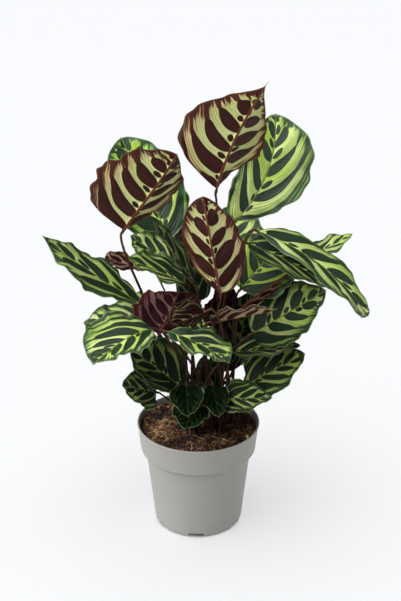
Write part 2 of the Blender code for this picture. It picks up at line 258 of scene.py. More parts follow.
def makeStudio():
    camera = bpy.data.objects.new("camera", bpy.data.cameras.new("camera"))
    camera.data.lens = studio["lens"]
    camera.data.sensor_width = 36
    camera.data.clip_end = 60
    camera.location = [x * millimetre for x in studio["cameraPlace"]]
    camera.rotation_euler = (radians(studio["cameraPitch"]), 0, 0)
    bpy.context.scene.collection.objects.link(camera)
    bpy.context.scene.camera = camera

    matte, _, shader = newMaterial("pale_floor", Roughness=0.9)
    shader.inputs["Specular IOR Level"].default_value = 0.2
    shader.inputs["Base Color"].default_value = paint(*studio["floorColour"])
    side = np.linspace(-studio["floorSize"], studio["floorSize"], 9)
    x, y = np.meshgrid(side, side)
    points = np.stack([x.ravel(), y.ravel(), np.zeros(x.size)], -1)
    floor = newPiece("floor", [dict(points=points, faces=[gridFaces(9, 9)])], [matte])

    # a wall round the floor, seen by the camera alone, so low views end in the same white
    glow, _, shader = newMaterial("pale_wall", Emission_Strength=studio["wallGlow"])
    shader.inputs["Base Color"].default_value = (0, 0, 0, 1)
    shader.inputs["Specular IOR Level"].default_value = 0
    shader.inputs["Emission Color"].default_value = paint(*studio["worldColour"])
    sides = studio["wallSides"]
    turn, height = np.meshgrid(np.linspace(0, tau, sides, endpoint=False), studio["wallHeights"])
    reach = studio["floorSize"] * 0.98
    points = np.stack([reach * np.cos(turn), reach * np.sin(turn), height], -1).reshape(-1, 3)
    wall = newPiece("wall", [dict(points=points, faces=[gridFaces(2, sides, closed=True)])], [glow])
    for kind in ("diffuse", "glossy", "transmission", "shadow"):
        setattr(wall, "visible_" + kind, False)

    world = bpy.data.worlds.new("studio_air")
    bpy.context.scene.world = world
    world.use_nodes = True
    air = world.node_tree.nodes["Background"]
    air.inputs[0].default_value = paint(*studio["worldColour"])
    air.inputs[1].default_value = studio["worldStrength"]
    floorAlone = bpy.data.collections.new("floor_alone")
    allButFloor = bpy.data.collections.new("all_but_floor")
    for group in (floorAlone, allButFloor):
        group.objects.link(floor)
    allButFloor.collection_objects[0].light_linking.link_state = "EXCLUDE"
    receivers = {"key": allButFloor, "fill": allButFloor, "potFill": potAlone,
                 "shade": floorAlone, "wash": floorAlone}
    # a flag inside the pot's floor keeps the wash from the floor under the pot
    sides = studio["flagSides"]
    turn = np.linspace(0, tau, sides, endpoint=False)
    ring = circle(turn, *np.eye(3)[:2]) * studio["flagRadius"]
    disc = dict(points=ring + [0, 0, studio["flagHeight"]], faces=[np.arange(sides)[None]])
    flag = newPiece("flag", [disc], [])
    washShade = bpy.data.collections.new("wash_shade")
    washShade.objects.link(flag)
    for name, (power, spread, place) in studio["lamps"].items():
        lamp = bpy.data.objects.new(name, bpy.data.lights.new(name, "SUN"))
        lamp.data.energy = power
        lamp.data.angle = radians(spread)
        lamp.location = place
        lamp.rotation_euler = lamp.location.to_track_quat("Z", "Y").to_euler()
        lamp.light_linking.receiver_collection = receivers[name]
        if name == "wash":
            lamp.light_linking.blocker_collection = washShade
        bpy.context.scene.collection.objects.link(lamp)
    bpy.context.scene.view_settings.view_transform = "Standard"


potAlone = bpy.data.collections.new("pot_alone")
makeStudio()
print("camera, floor and lights made")


# The leaf table; its shapes are those of the part's source. One leaf: base and tip of the midrib,
# full width, azimuth and elevation its upper face looks to, lean of its stalk, rise and sway of the
# midrib's middle handles, fold of its two halves, plumpness of the outline at base and tip, wave of
# the margin as depth, count and phase, and the share of the half width that each side has.
# The rest belongs to the finish: ruffle and roll of the margin, length of the drip tip, slope of the
# veins on the two sides and their bend, pattern cells along the midrib (0 goes by the width), tone
# from -1 deep to 1 bright, partly the leaf's own colour, partly painted shade at the low end and a
# painted glow of light from behind at the high end, dark for wider blotches, and the painted shade
# of a leaf deep inside the clump.
def leaf(crown, base, tip, width, face, lean=(0, 0), rise=(0, 0), sway=(0, 0), fold=(12, 12),
         plump=0.5, point=0.8, wave=(2.5, 2.5, 0), halves=(1, 1),
         ruffle=1.0, roll=0.0, tail=1.0, veins=None, bend=0.8, cells=0,
         tone=0.0, dark=None, paintedShade=0.0):
    pair = lambda value: value if isinstance(value, tuple) else (value, value)
    plump, point = pair(plump), pair(point)
    veins = veins or ((0.7, 0.7) if width >= 70 else (1.3, 1.3))
    return dict(crown=crown, base=np.array(base, float), tip=np.array(tip, float), width=width,
                face=face, lean=lean, rise=rise, sway=sway, fold=fold, plump=plump, point=point,
                wave=wave, halves=halves, ruffle=ruffle, roll=roll, tail=tail, veins=veins, bend=bend,
                cells=cells, tone=tone, dark=-tone if dark is None else dark, paintedShade=paintedShade)


leafTable = {
    # The tall leaves at the top
    "01": leaf("e", (19, -25, 414), (69, -5, 517), 112, (112, -8), lean=(13, 23),
               sway=(9, 6), fold=(36, 6), plump=(1.6, 1.1), point=(1.7, 1.6), tone=0.1,
               halves=(1.12, 1.03), ruffle=0.75, tail=2.4, veins=(0.35, 0.2), bend=0.65,
               cells=5.6, dark=0.0),
    "02": leaf("d", (41, 35, 357), (83, 60, 471), 108, (-85, 15), lean=(-13, 23),
               sway=(18, 20), fold=(8, 8), plump=(0.35, 1.1), point=(0.45, 0.75),
               halves=(0.6, 0.86), tail=0.3, veins=(0.6, 0.85), cells=4.1, tone=0.2, dark=-0.8),
    "03": leaf("a", (-74, -67, 385), (-21, -42, 455), 112, (110, -5), lean=(-5, -3),
               rise=(-4, -8), sway=(2, 0), fold=(38, 5), plump=(0.9, 0.3), point=(0.5, 0.62),
               halves=(0.72, 1.0), veins=(0.42, 0.1), bend=0.62, cells=5.2),
    "04": leaf("f", (-32, 44, 335), (-85, 74, 441), 86, (-90, 15), lean=(-5, -3),
               fold=(10, 10), point=0.6, tone=0.4, dark=0.5),
    "05": leaf("b", (23, -60, 312), (5, -45, 412), 66, (90, -5), lean=(0, 34),
               rise=(-6, -10), fold=(20, 20), plump=(0.45, 0.85), point=(0.7, 0.55),
               halves=(1.06, 0.9), tail=0.4, veins=(0.5, 0.6), bend=0.7, cells=4.6,
               tone=-0.12, dark=0.5, paintedShade=0.15),
    # The upper middle, left to right
    "06": leaf("f", (-20, 19, 306), (-74, 24, 345), 55, (-60, 50), lean=(5, 3),
               tone=-0.15, dark=0.3),
    "07": leaf("e", (-4, -19, 309), (-47, -20, 376), 46, (-7, 30), lean=(-3, -5),
               tone=-0.3, paintedShade=0.3),
    "08": leaf("a", (-64, -18, 284), (-163, -28, 364), 66, (-40, 50), lean=(16, 9),
               rise=(-3, -5), plump=(1.2, 0.6), point=(1.3, 0.95), halves=(0.85, 0.7),
               roll=-0.4, veins=(1.8, 1.8), cells=3.0, tone=0.1, dark=-0.2),
    "09": leaf("f", (-54, 20, 306), (-103, 25, 319), 24, (90, 15), lean=(3, 5),
               plump=1.1, point=0.45, tone=-0.7, dark=0.3),
    "10": leaf("a", (-14, -23, 309), (-74, -32, 341), 60, (-12, 62), lean=(-12, 0),
               ruffle=0.5, veins=(1.9, 1.9), cells=2.8, tone=0.1, dark=0.1),
    "11": leaf("d", (47, 5, 290), (96, 35, 339), 85, (-104, 30), lean=(0, 34),
               tone=0.7, dark=0.3),
    "12": leaf("d", (54, -3, 346), (142, -13, 299), 54, (-78, 50), lean=(-16, 9),
               rise=(10, 10), halves=(1.0, 0.62), roll=-0.3, veins=(1.9, 1.9), cells=3.4,
               tone=-0.2, paintedShade=0.2),
    "13": leaf("d", (64, -5, 361), (183, -30, 273), 46, (-55, 64), lean=(-28, -48),
               rise=(20, 22), plump=(0.4, 0.8), point=(0.42, 0.55), halves=(1.05, 1.05),
               roll=-0.4, veins=(1.7, 1.7), cells=4.2),
    "14": leaf("c", (59, -14, 244), (138, -14, 296), 80, (-124, 42), lean=(-48, -28),
               tone=-0.4, dark=0.2, paintedShade=0.4),
    "15": leaf("c", (15, -50, 276), (81, -75, 301), 50, (110, 52), lean=(-3, 5),
               tone=-0.6, dark=-0.2),
    "16": leaf("b", (-42, -24, 250), (-20, -54, 311), 76, (100, 12), lean=(-16, 9),
               plump=0.4, point=0.5, tone=-0.85, dark=0.8),
    "17": leaf("c", (9, -80, 302), (-31, -72, 280), 44, (80, 40), lean=(13, 5),
               tone=-0.45, dark=0.9, paintedShade=0.65),
    # The lower leaves
    "18": leaf("a", (-53, -12, 257), (-127, -2, 252), 60, (-74, 66), lean=(5, 3), tone=-0.2),
    "19": leaf("b", (-49, -54, 269), (-108, -94, 247), 78, (-120, 56), lean=(26, 0),
               rise=(12, 8), plump=(0.65, 0.5), point=(1.2, 0.42), halves=(0.76, 1.03),
               veins=(0.5, 1.4), tone=-0.05, dark=0.3),
    "20": leaf("b", (-32, -58, 268), (32, -83, 243), 46, (-78, 70), lean=(23, -13),
               rise=(8, 8), wave=(3.5, 2.5, 90), plump=(1.1, 0.9), point=(0.6, 1.2),
               halves=(0.96, 0.86), veins=(1.4, 0.5), tone=0.1, dark=0.35),
    "21": leaf("b", (-13, -39, 187), (-74, -39, 239), 76, (-60, 37), lean=(0, 18),
               plump=(0.8, 1.0), point=(0.8, 1.0), halves=(0.62, 0.95),
               tone=-0.5, dark=0.7, paintedShade=0.45),
    "22": leaf("a", (-46, -37, 184), (-81, -67, 208), 50, (-63, 45),
               tone=-0.35, dark=0.3, paintedShade=0.3),
    "23": leaf("c", (40, -26, 228), (111, -31, 238), 55, (-170, 84), lean=(12, 0),
               tone=-0.3, dark=0.4, paintedShade=0.3),
    "24": leaf("c", (53, -25, 187), (116, -35, 230), 62, (-124, 42), lean=(6, 0),
               tone=-0.45, dark=0.3, paintedShade=0.35),
    "25": leaf("c", (26, -47, 182), (80, -62, 190), 45, (-90, 60), lean=(-5, -3),
               point=1.0, tone=-0.4, dark=0.5, paintedShade=0.35),
    "26": leaf("b", (-13, -47, 198), (-11, -87, 182), 38, (-90, 65), lean=(16, -9), tone=-1.04),
    "27": leaf("c", (16, -37, 193), (22, -76, 175), 32, (-90, 65), tone=-1.04),
    "28": leaf("b", (-4, -45, 172), (-14, -84, 165), 42, (-90, 70), lean=(-12, 0), tone=-1.04),
    "29": leaf("e", (19, 8, 160), (5, 18, 200), 40, (-130, 40), lean=(12, 0),
               tone=-0.8, paintedShade=0.8),
    # Small leaves between the others
    "30": leaf("d", (121, 14, 323), (169, 26, 346), 26, (-112, 56), lean=(10, 6),
               plump=0.6, point=0.9, ruffle=0.3, veins=(2.2, 2.2), cells=2.5, dark=-1.2),
    "31": leaf("f", (1, 10, 273), (-18, 20, 347), 45, (-76, 32), lean=(-18, 0),
               tone=-0.6, paintedShade=0.5),
    "32": leaf("d", (48, -18, 277), (98, -9, 314), 18, (80, -40), lean=(8, 12),
               fold=(60, 60), tone=-0.7, paintedShade=0.35),
    "33": leaf("e", (18, 8, 240), (36, -7, 298), 38, (95, 20), lean=(-9, -16),
               tone=-0.9, paintedShade=0.9),
    "34": leaf("c", (34, 1, 190), (30, -9, 234), 44, (-75, 35), lean=(12, 0),
               tone=-0.8, paintedShade=0.8),
    # The back of the plant, which the photo does not show
    "35": leaf("f", (-30, 60, 300), (-62, 120, 372), 88, (95, 42), lean=(6, 0),
               rise=(6, 8)),
    "36": leaf("g", (30, 62, 286), (44, 132, 342), 92, (80, 50), lean=(5, 3), rise=(8, 8)),
    "37": leaf("f", (-52, 48, 228), (-120, 84, 262), 74, (130, 58), lean=(3, 5),
               rise=(8, 8)),
    "38": leaf("g", (48, 51, 192), (58, 60, 262), 70, (-75, 20), tone=-0.8, paintedShade=0.8),
    "39": leaf("g", (6, 66, 200), (0, 130, 212), 70, (92, 68), lean=(-5, -3),
               rise=(10, 10)),
    "40": leaf("g", (40, 55, 170), (78, 96, 180), 52, (50, 66)),
    "41": leaf("f", (-34, 58, 168), (-72, 96, 172), 50, (125, 66), lean=(10, 6)),
}


# Direction of an azimuth and an elevation in degrees.
def facing(azimuth, elevation):
    a, e = radians(azimuth), radians(elevation)
    return np.array([cos(a) * cos(e), sin(a) * cos(e), sin(e)])


# Centre line of the blade, a cubic curve from base to tip through two handles, with the
# directions along it, out of its upper face and across it. Past the tip it runs on straight.
def midrib(one, u):
    base, tip = one["base"], one["tip"]
    along = unit(tip - base)
    out = facing(*one["face"])
    out = unit(out - (out @ along) * along)
    across = np.cross(along, out)
    third = np.linalg.norm(tip - base) / 3
    first = base + along * third + out * one["rise"][0] + across * one["sway"][0]
    second = base + along * 2 * third + out * one["rise"][1] + across * one["sway"][1]
    past = np.maximum(np.asarray(u, float) - 1, 0)[..., None]
    u = np.minimum(u, 1)[..., None]
    centre = cubic(u, base, first, second, tip)
    along = unit((1 - u) ** 2 * (first - base) + 2 * u * (1 - u) * (second - first)
                 + u * u * (tip - second))
    centre = centre + along * past * third * 3
    out = unit(out - np.sum(along * out, -1, keepdims=True) * along)
    return centre, along, out, np.cross(along, out)


# Share of the full half width: u to the power a times (1 - u) to the power b, one at its peak,
# times the share of the half that v lies in.
def outline(one, u, v):
    a, b, share = (np.where(v < 0, *one[key]) for key in ("plump", "point", "halves"))
    peak = a / (a + b)
    u = np.clip(u, 0, 1)
    return share * (u ** a * (1 - u) ** b) / (peak ** a * (1 - peak) ** b)


bladeShape = {
    "bigWidth": 70.0,                              # from here on a leaf counts as a big one
    "bigGrid": (92, 25), "smallGrid": (60, 17),    # rows, and columns in each half
    "thickness": 0.85, "edgeThickness": 0.45,
    "ribHeight": 1.0, "ribWidth": 1.5, "grooveDepth": 0.55, "grooveWidth": 1.3,
    "quilt": 0.85,                                 # rise of the blade between its main veins
    "ruffleDepth": 1.9, "ruffleCounts": (6.5, 10.3),    # waves from base to tip
    "lobeShare": 0.032, "lobeCounts": (3.1, 6.7),
    "tail": 2.2, "tailWidth": 0.8, "tailRows": 5,  # the drip tip, and the rows of the grid in it
    "bigVeins": 4.3, "smallVeins": 3.7,            # pattern cells where the leaf states none
    "rollDepth": 7.0,
}


# Upper face: centre + across times the folded distance + out times fold, wave, ruffle, quilting
# and roll. The lower face lies under it by the thickness, with the midrib standing out of it.
# Vein lines leave the midrib and bend to the tip: x0 = x - half (slope (0.67 + 0.66 u) q + bend q^3),
# where q is the distance from the midrib over the half width.
def bladePart(number, one):
    shape = bladeShape
    big = one["width"] >= shape["bigWidth"]
    rows, half = shape["bigGrid"] if big else shape["smallGrid"]
    length = np.linalg.norm(one["tip"] - one["base"])
    past = shape["tail"] * one["tail"] / length * (1.0 if big else 0.6)
    k = np.linspace(0, 1, rows - shape["tailRows"])
    u = np.concatenate([(1 - np.cos(pi * k)) / 2, 1 + past * np.linspace(0.2, 1, shape["tailRows"])])
    k = np.linspace(-1, 1, 2 * half + 1)
    v = np.sign(k) * np.abs(k) ** 1.35             # columns are closer at the midrib
    u, v = np.meshgrid(u, v, indexing="ij")
    side, part = np.sign(v), np.abs(v)
    seed = int(number)
    random = np.random.RandomState(300 + seed)
    phase = random.uniform(0, tau, 6)

    centre, along, out, across = midrib(one, u)
    halfWidth = one["width"] / 2
    few, many = shape["lobeCounts"]
    lobes = 1 + shape["lobeShare"] * (np.sin(tau * few * u + phase[0] + side)
                                      + 0.6 * np.sin(tau * many * u + phase[1] - 2 * side))
    stub = shape["tailWidth"] * np.clip((1 + past - u) / (past + 0.04), 0.12, 1)
    stub = np.where(u < 0.5, 1.1, stub)            # least half width, at the base and in the tail
    reach = np.maximum(halfWidth * outline(one, u, v) * lobes, stub)     # midrib to margin
    fold = np.radians(np.where(v < 0, one["fold"][0], one["fold"][1])) * np.minimum(1, u / 0.06)
    distance = part * reach
    q = distance / halfWidth
    room = np.minimum(1, reach / (halfWidth * 0.4))

    depth, count, turn = one["wave"]
    wave = depth * part ** 2 * np.sin(tau * (count * u + turn / 360 + 0.31 * side)) * room
    few, many = shape["ruffleCounts"]
    ruffle = (shape["ruffleDepth"] * one["ruffle"] * halfWidth / 50 * part ** 4 * room
              * (np.sin(tau * few * u + phase[2] + 2.3 * side)
                 + 0.5 * np.sin(tau * many * u + phase[3] - side)))
    veins = one["cells"] or (shape["bigVeins"] if big else shape["smallVeins"])
    slope = np.where(v < 0, *one["veins"]) * (0.67 + 0.66 * np.clip(u, 0, 1))
    q = q / np.where(v < 0, *one["halves"])
    place = (u * length - halfWidth * (slope * q + one["bend"] * q ** 3)) / length
    cells = place * veins + patternShape["sideStep"] * (v > 0)
    swell = shape["quilt"] * (halfWidth / 50) ** 0.5 * (1 + 0.6 * min(one["tone"], 0))
    quilt = swell * np.cos(tau * cells) * np.sin(pi * part ** 0.8) * room
    groove = np.exp(-(distance / shape["grooveWidth"]) ** 2) * np.clip(reach / 4, 0, 1)
    groove = -shape["grooveDepth"] * groove
    roll = shape["rollDepth"] * one["roll"] * part ** 5 * room
    spread = side * distance * np.cos(fold)
    up = distance * np.sin(fold) + wave + ruffle + quilt + groove + roll
    top = centre + across * spread[..., None] + out * up[..., None]

    normal = unit(np.cross(np.gradient(top, axis=1), np.gradient(top, axis=0)))
    thick = shape["thickness"] - shape["edgeThickness"]
    thick = shape["edgeThickness"] + thick * (1 - part ** 3)
    thin = np.clip(reach / 5, 0.35, 1) * (1 - 0.5 * np.clip((u - 0.9) / 0.1, 0, 1))
    rib = np.exp(-(distance / shape["ribWidth"]) ** 2) * (1.15 - 0.85 * np.clip(u, 0, 1))
    rib = shape["ribHeight"] * rib * np.clip(reach / 3, 0, 1)
    under = top - normal * ((thick + rib) * thin)[..., None]

    # distance from the margin over the half width, for the pattern's margin band
    start = max(0.3, -0.75 * place.min())
    edge = np.minimum((1 - part) * reach / halfWidth, (place + start) * 1.1)
    edge = np.clip(edge, 0, np.maximum((1 - u) * length / halfWidth * 0.8, 0))
    veinMap = np.stack([place * veins + 16 * seed, v], -1).reshape(-1, 2)
    edgeMap = np.stack([edge, q], -1).reshape(-1, 2)
    toneMap = np.tile([one["tone"], one["dark"]], (u.size, 1))
    wayMap = np.stack([np.clip(u, 0, 1).ravel(), np.full(u.size, one["paintedShade"])], -1)
    maps = {"veins": veinMap, "edges": edgeMap, "tones": toneMap, "ways": wayMap}
    return dict(points=np.vstack([top.reshape(-1, 3), under.reshape(-1, 3)]),
                faces=sheetFaces(*u.shape), slots=[0, 1, 0],
                uv={title: np.vstack([pairs, pairs]) for title, pairs in maps.items()})


# Widths across the veins are shares of a cell; reaches and bands are shares of the half width.
patternShape = {
    "sideStep": 0.45, "swayDepth": 0.32,           # the right side's lead, and how far cells wander
    "blotchWidth": 0.38, "blotchReach": 0.86,
    "tailWidth": 0.09, "tailSpread": 0.4,
    "dropWidth": 0.15, "dropReach": 0.26, "dropMissing": 0.35,
    "band": 0.12, "combDepth": 0.7, "rim": 0.022, "rib": 0.016,
}


# The pattern, shared by both faces of a leaf. Along the vein coordinate the blade is cut into cells,
# about half a step apart on its two sides. Each cell holds one long blotch, widest before its
# middle, and a narrow tail from there to the margin; small drops lie between the blotches near the
# midrib. The margin band is combed by noise that is drawn out along the veins.
def makePattern():
    shape = patternShape
    tree, given, result = newGroup(
        "peacock_pattern",
        [("Veins", "Vector", None), ("Edges", "Vector", None), ("Along", "Float", 0.5),
         ("Dark", "Float", 0.0), ("Blotch Width", "Float", shape["blotchWidth"]),
         ("Blotch Reach", "Float", shape["blotchReach"]), ("Band", "Float", shape["band"]),
         ("Rib", "Float", shape["rib"])],
        [(title, "Float") for title in ("Blotch", "Core And Sheen", "Tail", "Margin", "Rim", "Rib", "Streak",
                                        "Grain", "Across")])
    parts, edges = split(tree, given["Veins"]), split(tree, given["Edges"])
    right = calc(tree, "GREATER_THAN", parts[1], 0.0)
    across = calc(tree, "ABSOLUTE", parts[1])

    # noise drawn out along the veins: many steps across them, few along them
    def veinNoise(steps, drawn, detail):
        spot = addNode(tree, "CombineXYZ", {0: calc(tree, "MULTIPLY", parts[0], steps),
                                            1: calc(tree, "MULTIPLY", parts[1], drawn)}).outputs[0]
        values = {"Vector": spot, "Scale": 1.0, "Detail": detail, "Roughness": 0.55}
        return addNode(tree, "TexNoise", values, noise_dimensions="2D").outputs[0]

    # three random values for each cell of each side
    def cellChance(cells, dimensions, more):
        cell = addNode(tree, "CombineXYZ", {0: calc(tree, "FLOOR", cells), 1: right, **more})
        drawn = addNode(tree, "TexWhiteNoise", {"Vector": cell.outputs[0]},
                        noise_dimensions=dimensions)
        return addNode(tree, "SeparateColor", {0: drawn.outputs["Color"]}).outputs

    def fromMiddle(cells):
        return calc(tree, "ABSOLUTE", calc(tree, "SUBTRACT", calc(tree, "FRACT", cells), 0.5))

    # (4 p (1 - p)) to a power: 0 at both ends of p, 1 in its middle
    def hump(p, power):
        made = calc(tree, "MULTIPLY", p, calc(tree, "SUBTRACT", 1.0, p))
        return calc(tree, "POWER", calc(tree, "MULTIPLY", made, 4.0), power)

    comb = veinNoise(6.4, 0.9, 2.0)
    grain = veinNoise(19.0, 2.5, 3.0)
    sway = calc(tree, "SUBTRACT", veinNoise(1.0, 1.6, 1.0), 0.5)

    cells = calc(tree, "ADD", parts[0], calc(tree, "MULTIPLY", right, shape["sideStep"]))
    cells = calc(tree, "MULTIPLY_ADD", sway, shape["swayDepth"], cells)
    off = fromMiddle(cells)
    chance = cellChance(cells, "2D", {})

    # blotch: its half width follows the hump of p = 0.06 + 0.94 (across / reach)^0.9; nearer the
    # base it reaches further
    reach = calc(tree, "MULTIPLY_ADD", given["Along"], -0.66, 1.2)
    reach = calc(tree, "MULTIPLY", reach, calc(tree, "MULTIPLY_ADD", chance[0], 0.2, 0.9))
    reach = calc(tree, "MULTIPLY", given["Blotch Reach"], reach)
    p = calc(tree, "POWER", calc(tree, "DIVIDE", across, reach, clamp=True), 0.9)
    p = calc(tree, "MULTIPLY_ADD", p, 0.94, 0.06)
    wide = calc(tree, "MULTIPLY_ADD", chance[1], 0.25, 0.87)
    wide = calc(tree, "MULTIPLY", given["Blotch Width"], wide)
    wide = calc(tree, "MULTIPLY", wide, calc(tree, "MULTIPLY_ADD", given["Dark"], 0.3, 1.0))
    wide = calc(tree, "MULTIPLY", wide, calc(tree, "MULTIPLY_ADD", given["Along"], -0.2, 1.04))
    wide = calc(tree, "MULTIPLY", wide, hump(p, 0.6))
    blotch = over(tree, wide, off, 0.04)
    # the lighter centre of each blotch: partly the blotch's own darker edge, partly painted sheen
    coreAndSheen = over(tree, calc(tree, "MULTIPLY", wide, 0.6), off, 0.22)

    # tail: from the blotch on, spreading towards the margin and thinned by the comb
    rise = calc(tree, "MULTIPLY_ADD", across, 2.2, -1.1, clamp=True)
    tail = calc(tree, "MULTIPLY_ADD", calc(tree, "POWER", rise, 1.6), shape["tailSpread"],
                shape["tailWidth"])
    tail = calc(tree, "MULTIPLY", tail, calc(tree, "MULTIPLY_ADD", comb, 3.0, -0.6, clamp=True))
    tail = over(tree, tail, off, 0.08)
    tail = calc(tree, "MULTIPLY", tail, over(tree, across, calc(tree, "MULTIPLY", reach, 0.75), 0.1))

    # drops between two blotches, in cells half a step further on
    between = calc(tree, "ADD", cells, 0.5)
    off = fromMiddle(between)
    chance = cellChance(between, "3D", {2: 3.0})
    reach = calc(tree, "MULTIPLY_ADD", chance[2], shape["dropReach"], -0.02)
    reach = calc(tree, "MAXIMUM", reach, 0.01)
    p = calc(tree, "DIVIDE", calc(tree, "SUBTRACT", across, 0.02), reach, clamp=True)
    drop = over(tree, calc(tree, "MULTIPLY", hump(p, 0.5), shape["dropWidth"]), off, 0.03)
    drop = calc(tree, "MULTIPLY", drop, calc(tree, "GREATER_THAN", chance[2], shape["dropMissing"]))
    blotch = calc(tree, "MAXIMUM", blotch, drop)

    # margin band with a combed inner edge, pale rim, partly the leaf's own pale edge and partly a
    # painted highlight of the edge, midrib, and fine lines along the veins
    depth = calc(tree, "SUBTRACT", comb, 0.5)
    depth = calc(tree, "MULTIPLY_ADD", depth, shape["combDepth"], given["Band"])
    depth = calc(tree, "MULTIPLY_ADD", given["Dark"], 0.06, calc(tree, "MAXIMUM", depth, 0.05))
    margin = over(tree, depth, edges[0], 0.09)
    rim = over(tree, shape["rim"], edges[0], 0.02)
    rib = over(tree, given["Rib"], edges[1], 0.012)
    fine = calc(tree, "SINE", calc(tree, "MULTIPLY", parts[0], 44.0))
    fine = calc(tree, "MULTIPLY_ADD", fine, 0.16, grain)
    for title, value in {"Blotch": blotch, "Core And Sheen": coreAndSheen, "Tail": tail, "Margin": margin, "Rim": rim,
                         "Rib": rib, "Streak": fine, "Grain": grain, "Across": across}.items():
        tree.links.new(value, result[title])
    return tree


peacockPattern = makePattern()

# Gloss is given as what a deep tone adds to it, and its value without; rough is its least value.
leafPaint = {
    "upper": {"ground": (226, 236, 158), "lime": (168, 204, 60), "fade": (126, 160, 76),
              "blotch": (22, 44, 18), "coreAndSheen": (28, 54, 32), "shadeBlotch": (9, 20, 9),
              "margin": (42, 74, 34), "shadeMargin": (18, 34, 16), "streak": (112, 146, 54),
              "rib": (104, 126, 46), "shade": (124, 132, 84), "rim": (150, 168, 120),
              # the next tint is multiplied in as painted shade for leaves deep inside the clump
              "paintedShade": (96, 104, 78), "gloss": (-0.42, 0.44), "rough": 0.32},
    "under": {"ground": (204, 212, 146), "lime": (190, 204, 122), "fade": (208, 170, 126),
              "blotch": (46, 15, 9), "coreAndSheen": (54, 20, 15), "shadeBlotch": (42, 15, 24),
              "margin": (74, 34, 22), "shadeMargin": (66, 24, 30), "streak": (160, 126, 86),
              "rib": (100, 52, 32), "shade": (160, 92, 180), "rim": (96, 62, 44),
              "paintedShade": (112, 96, 84), "gloss": (-0.12, 0.16), "rough": 0.4},
}


# Ground and lime in patches, and lime over a leaf of high tone, partly a painted glow of light from
# behind; fading to the margin, then the fine lines, the deeper colour and painted shade of a leaf
# with a low tone, tails, margin, blotches with lighter centres partly of painted sheen, midrib, and
# rim partly of painted highlight, each over the last; painted shade darkens the leaves deep inside
# the clump.
def makeLeafFace(face):
    paints = leafPaint[face]
    tints = {key: paint(*value) for key, value in paints.items() if key not in ("gloss", "rough")}
    material, tree, shader = newMaterial("leaf_" + face)
    veins = uvMap(tree, "veins")
    tone, wider = split(tree, uvMap(tree, "tones"))[:2]
    # a low tone deepens the leaf: partly its own darker colour, partly painted shade
    dark = calc(tree, "MULTIPLY", calc(tree, "MINIMUM", tone, 0.0), -1.0)
    way, paintedShade = split(tree, uvMap(tree, "ways"))[:2]
    marks = placeGroup(tree, peacockPattern, {"Veins": veins, "Edges": uvMap(tree, "edges"),
                                              "Along": way, "Dark": wider})

    patches = over(tree, noise(tree, veins, 0.9, 2.0), 0.55, 0.35)
    # a high tone spreads lime over the leaf: partly its own colour, partly a painted glow of light
    # from behind
    lime = calc(tree, "ADD", patches, calc(tree, "MAXIMUM", tone, 0.0), clamp=True)
    toEdge = calc(tree, "MULTIPLY_ADD", marks["Across"], 2.4, -1.4, clamp=True)
    lines = over(tree, marks["Streak"], 0.55, 0.3)
    lines = calc(tree, "MULTIPLY", lines, calc(tree, "MULTIPLY_ADD", marks["Across"], 0.6, 0.25))
    colour = layered(tree, tints["ground"], (lime, tints["lime"]), (toEdge, tints["fade"]),
                     (lines, tints["streak"]))
    colour = mixColour(tree, dark, colour, tints["shade"], "MULTIPLY")
    # the deepest leaves lose their pale bands and their midrib
    old = calc(tree, "MULTIPLY", calc(tree, "POWER", dark, 6.0), 0.7)
    rib = calc(tree, "MULTIPLY", marks["Rib"], calc(tree, "SUBTRACT", 1.0, old))
    # the pale rim, partly the leaf's own pale edge and partly a painted highlight
    rim = calc(tree, "MULTIPLY", marks["Rim"], 0.6)
    border = mixColour(tree, dark, tints["margin"], tints["shadeMargin"])
    # blotches get a lighter centre, partly painted sheen
    spots = layered(tree, tints["blotch"], (marks["Core And Sheen"], tints["coreAndSheen"]),
                    (dark, tints["shadeBlotch"]))
    colour = layered(tree, colour, (old, border), (marks["Tail"], border), (marks["Margin"], border),
                     (marks["Blotch"], spots), (rib, tints["rib"]), (rim, tints["rim"]))
    # painted shade darkens the leaves deep inside the clump
    colour = mixColour(tree, paintedShade, colour, tints["paintedShade"], "MULTIPLY")
    tree.links.new(colour, shader.inputs["Base Color"])
    gloss = calc(tree, "MAXIMUM", calc(tree, "MULTIPLY_ADD", dark, *paints["gloss"]), 0.03)
    gloss = calc(tree, "MULTIPLY", gloss, calc(tree, "SUBTRACT", 1.0, paintedShade))
    tree.links.new(gloss, shader.inputs["Specular IOR Level"])
    rough = calc(tree, "MULTIPLY_ADD", marks["Grain"], 0.24, paints["rough"])
    tree.links.new(rough, shader.inputs["Roughness"])
    bump(tree, marks["Streak"], 1.0, 0.0008, shader)
    return material


leafUpper = makeLeafFace("upper")
leafUnder = makeLeafFace("under")

for number, one in leafTable.items():
    blade = newPiece("leaf_" + number, [bladePart(number, one)], [leafUpper, leafUnder])
    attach(blade, "root")
    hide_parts("blade_" + number)
print(len(leafTable), "leaves made")


